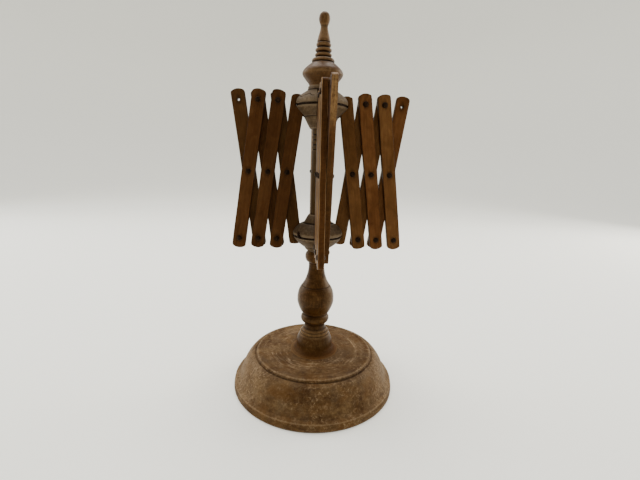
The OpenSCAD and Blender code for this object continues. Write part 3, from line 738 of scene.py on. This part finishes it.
def build_turned():
    turned_piece("base_turned", base_profile(), STAND, "stand", "base", 288,
                 wobble(1, 0.22, 0.10, 0.12, random_dents(5, 26, (3, 32), (1.2, 4.0), (0.12, 0.4)), (12, 20), (34.0, 58.0, 0.07)), 1, 1.4)
    turned_piece("column_turned", column_profile(), COLUMN, "stand", "column", 144,
                 wobble(2, 0.10, 0.05, 0.06, random_dents(6, 14, (40, 135), (0.9, 2.0), (0.08, 0.25))), 2, 1.0)
    turned_piece("spindle_turned", spindle_profile(), SPINDLE, "head", "spindle", 96,
                 wobble(3, 0.04, 0.03, 0.02, free=(7.0, 7.4)), 3, 1.5)
    turned_piece("finial_cap_turned", cap_profile(), CAP, "head", "finial_cap", 128,
                 wobble(4, 0.10, 0.05, 0.06, random_dents(8, 8, (292, 312), (0.8, 1.6), (0.08, 0.2)), (5.55, 7.0)), 4, 0.8)
    for name, prof, body, node, low, seed in (
        ("lower_hub_turned", lower_hub_profile(), "lower_hub", "lower_hub", True, 5),
        ("upper_hub_turned", upper_hub_profile(), "head", "upper_hub", False, 6),
    ):
        mid = LOW_WIRE if low else UP_WIRE
        dents = random_dents(seed + 9, 10, (mid - 10, mid + 10), (0.9, 2.0), (0.1, 0.3))
        v, f = lathe_data(dense(prof, 0.6, True), 256, True, wobble(seed, 0.10, 0.05, 0.05, dents, (8.2, 9.6), None, None if low else shoulder_crack))
        ob = new_object(name, v, f, HUBS, 50)
        notch_hub(ob, low)
        finish_mesh(ob.data, HUBS, 40)
        paint_turned(ob, prof + prof[:1], seed)
        if not low:
            deepen_crack(ob)
        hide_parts(node)
        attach(ob, body)


def deepen_crack(ob):
    """Dirt and painted shade in the crack."""
    cvx = [0.0] * len(ob.data.vertices)
    a = ob.data.attributes["cvx"].data
    a.foreach_get("value", cvx)
    for i, v in enumerate(ob.data.vertices):
        c = v.co / MM
        k = shoulder_crack(math.hypot(c.x, c.y) + 0.3, c.z, math.atan2(c.y, c.x))
        cvx[i] -= 1.7 * k
    a.foreach_set("value", cvx)


build_turned()


# ---------------------------------------------------------------- slats
def slat_outline(seed, tail, head):
    """Outline of one slat, anticlockwise, hand shaped: ends are shallow arcs with rounded corners."""
    rnd = random.Random(seed * 17 + 3)
    pts = []
    w = WIDE / 2
    for sgn, l in ((1, head + END), (-1, tail + END)):
        bow = rnd.uniform(9.4, 12.0)
        cut = rnd.uniform(0.08, 0.35)
        skew = rnd.uniform(-0.03, 0.03)
        for k in range(-16, 17):
            y = w * math.sin(math.pi / 2 * k / 16)
            c = 3.4 + 0.7 * math.sin(seed * 3.1 + (1.7 if y > 0 else 0.0) + (0.8 if sgn > 0 else 0.0)) ** 2
            x = min(bow * bow - y * y, bow * bow) ** 0.5 - bow
            q = abs(y) - (w - c)
            if q > 0:
                x = min(x, (max(c * c - q * q, 0.0)) ** 0.5 - c)
            pts.append((sgn * (l - cut + x + skew * y), sgn * y))
    return pts


def slat_object(name, seed, tail, head, holes, mat):
    rnd = random.Random(seed * 31 + 5)
    line = slat_outline(seed, tail, head)
    # even spacing along the sides, close spacing at the ends
    fine_line = []
    n = len(line)
    for i in range(n):
        a, b = Vector(line[i]), Vector(line[(i + 1) % n])
        gap = 1.6 if abs(a.x) < 62 and abs(b.x) < 66 else 0.6
        k = max(1, int(math.ceil((b - a).length / gap)))
        fine_line += [a.lerp(b, j / k) for j in range(k)]
    line = []
    for q in fine_line:  # hand-planed sides are never quite straight
        if abs(q.y) > 3:
            s = 1 if q.y > 0 else -1
            q = Vector((q.x, q.y - s * (0.02 + 0.22 * max(0, 0.5 + noise.noise(Vector((q.x * 0.03, s * 5 + seed, 1.7)))))))
        line.append(q)
    n = len(line)
    normal = []
    for i in range(n):
        t = (line[(i + 1) % n] - line[i - 1]).normalized()
        normal.append(Vector((-t.y, t.x)))  # inwards
    verts, faces, edge, side, wall = [], [], [], [], []
    h = THICK / 2

    def add(x, y, z, e=0.0, sd=0.0, wl=0.0):
        verts.append((x, y, z))
        edge.append(e)
        side.append(sd)
        wall.append(wl)
        return len(verts) - 1

    def face_z(x, y, top):
        """Slightly uneven planed faces; wood only ever removed."""
        d = 0.05 + 0.05 * noise.noise(Vector((x * 0.05, y * 0.2, seed + (7 if top else 0)))) + 0.03 * noise.noise(Vector((x * 0.3, y * 0.5, seed + 2.5)))
        return (h - d) if top else -(h - d * 0.6)

    # rim of the back face, its rounded arris, the sawn side, the front arris, rim of the front face
    rows = [(False, 1.0, 0.0, 0.55, 0.0), (False, 0.45, 0.12, 1.0, 0.3), (False, 0.12, 0.45, 1.0, 0.7), (False, 0.0, 1.0, 0.5, 1.0),
            (None, 0.0, -0.3, 0.0, 1.0), (None, 0.0, 0.3, 0.0, 1.0),
            (True, 0.0, 1.0, 0.5, 1.0), (True, 0.12, 0.45, 1.0, 0.7), (True, 0.45, 0.12, 1.0, 0.3), (True, 1.0, 0.0, 0.55, 0.0)]
    worn = [0.38 + 0.45 * max(0.0, 0.35 + noise.noise(Vector((q.x * 0.07, q.y * 0.5, seed * 1.3)))) + (0.25 if q.x > head + 3 or q.x < -tail - 3 else 0.0) for q in line]
    ring_ids = []
    for top, inset, drop, e, sd in rows:
        ids = []
        for q, nn, b in zip(line, normal, worn):
            if top is None:
                rough = 0.05 * (0.6 + noise.noise(Vector((q.x * 0.5, q.y * 0.5, seed + drop))))
                pt = q + nn * rough
                zz = drop * THICK
            else:
                b = b if top else b * 0.75
                pt = q + nn * (inset * b)
                zz = face_z(pt.x, pt.y, top) - (drop * b if top else -drop * b)
            ids.append(add(pt.x, pt.y, zz, e, sd))
        ring_ids.append(ids)
    for lo, hi in zip(ring_ids, ring_ids[1:]):
        for k in range(n):
            j = (k + 1) % n
            faces.append((lo[k], lo[j], hi[j], hi[k]))
    seg = 24
    for top in (False, True):
        rim = ring_ids[-1] if top else ring_ids[0]
        flat = [Vector(verts[i][:2]) for i in rim]
        ids = list(rim)
        cons = [(k, (k + 1) % n) for k in range(n)]
        # a second line just inside the rim keeps the worn edge narrow
        for q, nn, b in zip(line, normal, worn):
            pt = q + nn * (b + 0.9)
            flat.append(pt)
            ids.append(add(pt.x, pt.y, face_z(pt.x, pt.y, top), 0.1))
        for hx, hr in holes:
            start = len(flat)
            for k in range(seg):
                a = 2 * math.pi * k / seg
                pt = Vector((hx + (hr + 0.22) * math.cos(a), (hr + 0.22) * math.sin(a)))
                flat.append(pt)
                ids.append(add(pt.x, pt.y, face_z(pt.x, pt.y, top), 0.0, 0.0, 0.25))
            cons += [(start + k, start + (k + 1) % seg) for k in range(seg)]
        x = -tail - END + 3.2
        while x < head + END - 3.0:
            for y in (-3.4, -1.2, 1.2, 3.4):
                pt = Vector((x + 0.4 * rnd.uniform(-1, 1), y + 0.3 * rnd.uniform(-1, 1)))
                if all((pt - Vector((hx, 0))).length > hr + 1.1 for hx, hr in holes) and min((pt - q).length for q in line) > 2.0:
                    flat.append(pt)
                    ids.append(add(pt.x, pt.y, face_z(pt.x, pt.y, top)))
            x += 2.6
        got_v, _, tris, from_v, _, _ = delaunay_2d_cdt(flat, cons, [], 1, 1e-5)
        for t in tris:
            c = (got_v[t[0]] + got_v[t[1]] + got_v[t[2]]) / 3
            if any((c - Vector((hx, 0))).length < hr + 0.2 for hx, hr in holes):
                continue
            tri = []
            for i in t:
                if not from_v[i]:  # a point added where two lines cross
                    from_v[i] = [len(ids)]
                    ids.append(add(*got_v[i], face_z(*got_v[i], top), 0.5))
                tri.append(ids[from_v[i][0]])
            faces.append(tuple(tri if top else reversed(tri)))
    # hole walls, with a small worn chamfer
    for hx, hr in holes:
        loops = []
        for zz, r in ((-h, hr + 0.22), (-h + 0.3, hr), (h - 0.3, hr), (h, hr + 0.22)):
            ids = []
            for k in range(seg):
                a = 2 * math.pi * k / seg
                pt = Vector((hx + r * math.cos(a), r * math.sin(a)))
                face = abs(zz) > h - 0.1
                ids.append(add(pt.x, pt.y, face_z(pt.x, pt.y, zz > 0) if face else zz, 0.0, 0.0, 0.25 if face else 1.0))
            loops.append(ids)
        for lo, hi in zip(loops, loops[1:]):
            for k in range(seg):
                j = (k + 1) % seg
                faces.append((lo[j], lo[k], hi[k], hi[j]))
    me = bpy.data.meshes.new(name)
    me.from_pydata([tuple(c * MM for c in v) for v in verts], [], faces)
    float_attr(me, "edge", edge)
    float_attr(me, "side", side)
    float_attr(me, "wall", wall)
    bm = bmesh.new()
    bm.from_mesh(me)
    bmesh.ops.remove_doubles(bm, verts=bm.verts, dist=2e-7)
    bmesh.ops.delete(bm, geom=[v for v in bm.verts if not v.link_faces], context="VERTS")
    bmesh.ops.recalc_face_normals(bm, faces=bm.faces)
    bm.to_mesh(me)
    bm.free()
    finish_mesh(me, mat, 40)
    ob = bpy.data.objects.new(name, me)
    bpy.context.scene.collection.objects.link(ob)
    return ob


def axes_matrix(ex, ez, at):
    ey = ez.cross(ex)
    m = Matrix((ex, ey, ez)).transposed().to_4x4()
    m.translation = at * MM
    return m


# dark, middle and light wood of the faces
FACES = {
    "r": ((0.026, 0.0083, 0.0020), (0.049, 0.0180, 0.0052), (0.078, 0.0335, 0.0112)),
    "o": ((0.029, 0.0112, 0.0028), (0.053, 0.0222, 0.0068), (0.082, 0.0390, 0.0135)),
    "d": ((0.019, 0.0058, 0.0014), (0.037, 0.0133, 0.0038), (0.061, 0.0250, 0.0080)),
}
# sawn sides and arrises: the dark arrises of 'n' are painted shade between slats; the pale and tan sides of 'p' and 't'
# are partly wear, partly painted light; the light arrises are rubbed wear
SIDES = {
    "n": ((0.032, 0.0128, 0.0040), (0.020, 0.0074, 0.0022)),
    "k": ((0.052, 0.0190, 0.0050), (0.24, 0.143, 0.063)),
    "m": ((0.053, 0.0212, 0.0064), (0.080, 0.039, 0.0145)),
    "t": ((0.118, 0.064, 0.0235), (0.22, 0.135, 0.058)),
    "p": ((0.222, 0.123, 0.050), (0.295, 0.181, 0.082)),
}
# inner drop, inner rise, middle drop, middle rise, outer drop, outer rise
TONES = {
    "left": ("rordro", "nnnnnn", 1.0),
    "right": ("ooroor", "nnnnnn", 1.62),
    "front": ("roorod", "ptpnkm", 1.0),
    "back": ("ordoro", "ntntnk", 1.2),
}


def build_slats():
    z = Vector((0, 0, 1))
    seed = 100
    for arm, (u, v) in ARMS.items():
        for i, row in enumerate(ROWS):
            for j, kind in enumerate(("drop", "rise")):
                seed += 1
                s = -1 if kind == "drop" else 1
                ex = u * (s * math.sin(LEAN)) + z * math.cos(LEAN)
                at = u * (CROSS + i * STEP) + v * (s * LAY) + z * MID_Z
                if kind == "drop":
                    tail, head = HALF, HUB_HALF if i == 0 else HALF
                    radii = 1.3, 1.3, 1.25 if i == 0 else 1.3
                else:
                    tail, head = HUB_HALF if i == 0 else HALF, HALF
                    radii = 1.25 if i == 0 else 1.4, 1.4, 1.2 if i == 2 else 1.4
                holes = list(zip((-tail, 0.0, head), radii))
                k = random.Random(seed).uniform(0.92, 1.10) * TONES[arm][2]
                face, edges = FACES[TONES[arm][0][2 * i + j]], SIDES[TONES[arm][1][2 * i + j]]
                place = axes_matrix(ex, v * s, at)
                turn = place.to_3x3()
                upper_side_pale = scaled(SIDES["p"][0], 0.8 * k) if (arm, row, kind) == ("front", "outer", "rise") else None
                mat = slat_wood(f"{arm}_{row}_{kind}_wood", seed, turn.transposed().to_euler(), *(scaled(t, k) for t in face), *(scaled(t, k) for t in edges), upper_side_pale)
                ob = slat_object(f"{arm}_{row}_{kind}_slat_shaped", seed, tail, head, holes, mat)
                ob.data.transform(turn.to_4x4())
                ob.matrix_world = Matrix.Translation(place.translation)
                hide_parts(f"{arm}_{row}_{kind}_slat")
                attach(ob, f"{arm}_{row}_{kind}")


build_slats()


# ---------------------------------------------------------------- rivets
def rivet_data(seed, free, flat):
    """Hand-set iron rivet along Z: hammered dome at z>0, beaten flat mm wider, shank down to a peened tail."""
    rnd = random.Random(seed * 7 + 1)
    far = THICK + 0.25 if free else 2 * THICK + GAP + 0.25
    hr, hh = rnd.uniform(2.04, 2.22) + flat, rnd.uniform(1.1, 1.35)
    prof = curve([(0, -far - 1.0), (0.7, -far - 0.93), (1.6, -far - 0.6), (2.1, -far - 0.02)], 4)
    prof += [(1.3, -far), (1.3, -0.05), (hr - 0.1, -0.05)]
    prof += curve([(hr, 0.12), (hr * 0.86, hh * 0.55), (hr * 0.5, hh * 0.9), (0, hh)], 5)
    verts, faces = lathe_data(soften(prof, 0.1), 26)
    planes = []
    for _ in range(8):
        a, t = rnd.uniform(0, 2 * math.pi), rnd.uniform(0.1, 0.95)
        nrm = Vector((math.sin(t) * math.cos(a), math.sin(t) * math.sin(a), math.cos(t)))
        reach = max(nrm.dot(Vector(q)) for q in verts)
        planes.append((nrm, reach - rnd.uniform(0.05, 0.2)))
    for _ in range(4):
        a, t = rnd.uniform(0, 2 * math.pi), rnd.uniform(0.1, 0.8)
        nrm = Vector((math.sin(t) * math.cos(a), math.sin(t) * math.sin(a), -math.cos(t)))
        reach = max(nrm.dot(Vector(q)) for q in verts)
        planes.append((nrm, reach - rnd.uniform(0.05, 0.15)))
    sx, sy = rnd.uniform(0.95, 1.03), rnd.uniform(0.95, 1.03)
    out = []
    for q in verts:
        q = Vector(q)
        big = q.z > 0.02 or q.z < -far + 0.0
        if big:
            for nrm, lim in planes:
                over = nrm.dot(q) - lim
                if over > 0:
                    q -= nrm * over
            q.x *= sx
            q.y *= sy
            q += q.normalized() * 0.05 * noise.noise(q * 1.3 + Vector((seed, 0, 0)))
        if q.z > -0.06 and q.z < 0.02 and math.hypot(q.x, q.y) > 1.5:
            q.z = max(q.z, -0.05)
        out.append(q)
    return out, faces


def build_rivets():
    z = Vector((0, 0, 1))
    seed = 400
    for arm, (u, v) in ARMS.items():
        for i, row in enumerate(ROWS):
            r = CROSS + i * STEP
            spots = [(r, MID_Z, False), (r + STEP / 2, LOW_Z, i == 2)]
            if i:
                spots.append((r - STEP / 2, UP_Z, False))
            verts, faces = [], []
            for rr, zz, free in spots:
                seed += 1
                pv, pf = rivet_data(seed, free, 0.42 if arm == "right" else 0.24)
                m = Matrix((u, (-v).cross(u), -v)).transposed().to_4x4()
                m.translation = u * rr + z * zz - v * (LAY + THICK / 2)
                turn = Matrix.Rotation(random.Random(seed).uniform(0, 6.28), 4, "Z")
                base = len(verts)
                verts += [tuple(m @ turn @ Vector(q)) for q in pv]
                faces += [tuple(base + k for k in f) for f in pf]
            ob = new_object(f"{arm}_{row}_rivets_hammered", verts, faces, IRON, 50)
            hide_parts(f"{arm}_{row}_rivets")
            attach(ob, f"{arm}_{row}_drop")


build_rivets()


# ---------------------------------------------------------------- hinge wires
def tube(path, radius, seg=10, closed=False, cap=True):
    verts, faces = [], []
    n = len(path)
    up = Vector((0, 0, 1))
    last = None
    for i, p in enumerate(path):
        a = path[i - 1] if (i or closed) else path[i]
        b = path[(i + 1) % n] if (i < n - 1 or closed) else path[i]
        t = (b - a).normalized()
        if last is None:
            side = t.cross(up)
            if side.length < 1e-3:
                side = t.cross(Vector((1, 0, 0)))
            side.normalize()
        else:
            side = (last - t * last.dot(t)).normalized()
        last = side
        oth = t.cross(side)
        for k in range(seg):
            w = 2 * math.pi * k / seg
            verts.append(p + (side * math.cos(w) + oth * math.sin(w)) * radius)
    for i in range(n if closed else n - 1):
        for k in range(seg):
            a, b = i * seg, ((i + 1) % n) * seg
            j = (k + 1) % seg
            faces.append((a + k, a + j, b + j, b + k))
    if cap and not closed:
        for s, inner in ((0, path[0]), ((n - 1) * seg, path[-1])):
            c = len(verts)
            nb = path[1] if s == 0 else path[-2]
            verts.append(inner + (inner - nb).normalized() * radius * 0.35)
            for k in range(seg):
                j = (k + 1) % seg
                faces.append((s + k, s + j, c) if s else (s + j, s + k, c))
    return [tuple(v) for v in verts], faces


def build_wire(name, node, body, z0, tail_deg, seed):
    """A wire ring in the hub's rim groove; its two ends are twisted together and bent up."""
    ring = []
    for k in range(240):
        a = 2 * math.pi * k / 240
        wav = 0.05 * noise.noise(Vector((math.cos(a) * 3, math.sin(a) * 3, seed)))
        ring.append(Vector(((RING + wav) * math.cos(a), (RING + wav) * math.sin(a), z0 + 0.04 * noise.noise(Vector((math.cos(a) * 4, math.sin(a) * 4, seed + 4))))))
    verts, faces = tube(ring, 0.8, 12, closed=True)
    a0 = math.radians(tail_deg)
    rad, tan, up = Vector((math.cos(a0), math.sin(a0), 0)), Vector((-math.sin(a0), math.cos(a0), 0)), Vector((0, 0, 1))
    keys = [(22.3, 0.0, 0.0), (23.8, 0.1, 0.2), (24.9, 1.0, 0.1), (25.3, 2.6, -0.3), (25.0, 4.2, -0.8), (24.4, 5.6, -1.2)]
    mid = []
    for i in range(len(keys) - 1):
        a, b, c, d = keys[max(i - 1, 0)], keys[i], keys[i + 1], keys[min(i + 2, len(keys) - 1)]
        for k in range(8):
            t = k / 8
            q = [0.5 * (2 * b[j] + (c[j] - a[j]) * t + (2 * a[j] - 5 * b[j] + 4 * c[j] - d[j]) * t * t + (3 * b[j] - a[j] - 3 * c[j] + d[j]) * t ** 3) for j in range(3)]
            mid.append(rad * q[0] + up * q[1] + tan * q[2])
    sgn = 1 if z0 < MID_Z else -1
    for strand in (0, 1):
        path = []
        for k, q in enumerate(mid):
            w = math.pi * strand + 2 * math.pi * 2.3 * k / len(mid)
            ahead = (mid[min(k + 1, len(mid) - 1)] - mid[max(k - 1, 0)]).normalized()
            s1 = ahead.cross(tan).normalized()
            s2 = ahead.cross(s1)
            q2 = q + (s1 * math.cos(w) + s2 * math.sin(w)) * 0.62
            path.append(Vector((q2.x, q2.y, z0 + sgn * q2.z)))
        path = path[: len(path) - (0 if strand else 5)]
        tv, tf = tube(path, 0.62, 10)
        base = len(verts)
        verts += tv
        faces += [tuple(base + i for i in f) for f in tf]
    ob = new_object(name, verts, faces, WIRE, 60)
    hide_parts(node)
    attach(ob, body)


build_wire("lower_hub_wire_twisted", "lower_hub_wire", "lower_hub", LOW_WIRE, -137, 3)
build_wire("upper_hub_wire_twisted", "upper_hub_wire", "head", UP_WIRE, 46, 8)



# ---------------------------------------------------------------- the hidden step bearing
def build_bearing():
    z = COL_TOP - 54.0
    plate = [(0, z), (4.9, z), (4.9, z + 1.2), (4.6, z + 1.5), (2, z + 1.5), (0, z + 1.1)]
    pin = curve([(0, z + 1.4), (0.9, z + 1.65), (1.5, z + 2.5)], 4) + [(1.5, z + 13.4), (1.1, z + 14.0), (0, z + 14.0)]
    for node, body, prof in (("thrust_plate", "stand", plate), ("pivot_pin", "head", pin)):
        v, f = lathe_data(soften(prof, 0.08), 48)
        ob = new_object(f"{node}_turned", v, f, IRON, 40)
        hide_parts(node)
        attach(ob, body)


build_bearing()


# ---------------------------------------------------------------- floor and light
def build_stage():
    """A pale floor that sweeps up far away on all sides."""
    prof = [(0, 0), (1500, 0)] + curve([(1500, 0), (2300, 120), (2900, 600), (3100, 1400), (3150, 2400)], 10)[1:]
    verts, faces = lathe_data(dense(prof, 200), 96)
    m = Mat("pale_floor")
    m.set(Base_Color=(0.80, 0.79, 0.72), Roughness=0.8, Specular_IOR_Level=0.1, Emission_Color=(1.0, 0.99, 0.92), Emission_Strength=0.25)
    me = bpy.data.meshes.new("floor")
    me.from_pydata([tuple(c * MM for c in (x, y, z - 0.05)) for x, y, z in verts], [], [tuple(reversed(f)) for f in faces])
    me.materials.append(m.m)
    me.polygons.foreach_set("use_smooth", [True] * len(me.polygons))
    floor = bpy.data.objects.new("floor", me)
    bpy.context.scene.collection.objects.link(floor)
    world = bpy.context.scene.world or bpy.data.worlds.new("world")
    bpy.context.scene.world = world
    world.use_nodes = True
    bg = world.node_tree.nodes.get("Background")
    bg.inputs[0].default_value = (0.96, 0.97, 1.0, 1)
    bg.inputs[1].default_value = 0.56

    def area(name, at, aim, size, power, color=(1, 1, 1)):
        d = bpy.data.lights.new(name, "AREA")
        d.shape, d.size, d.size_y, d.energy, d.color = "RECTANGLE", size[0], size[1], power, color
        o = bpy.data.objects.new(name, d)
        bpy.context.scene.collection.objects.link(o)
        o.location = at
        o.rotation_euler = (Vector(aim) - Vector(at)).to_track_quat("-Z", "Y").to_euler()

    area("top_soft", (-0.10, 0.45, 1.70), (0, 0.1, 0.1), (1.6, 1.4), 40.0, (1.0, 0.985, 0.96))
    area("left_soft", (-1.30, 0.55, 0.75), (0, 0, 0.2), (0.7, 1.1), 14.0, (0.97, 0.985, 1.0))
    area("right_soft", (1.30, 0.55, 0.70), (0, 0, 0.2), (0.7, 1.1), 17.0, (1.0, 0.98, 0.95))


build_stage()
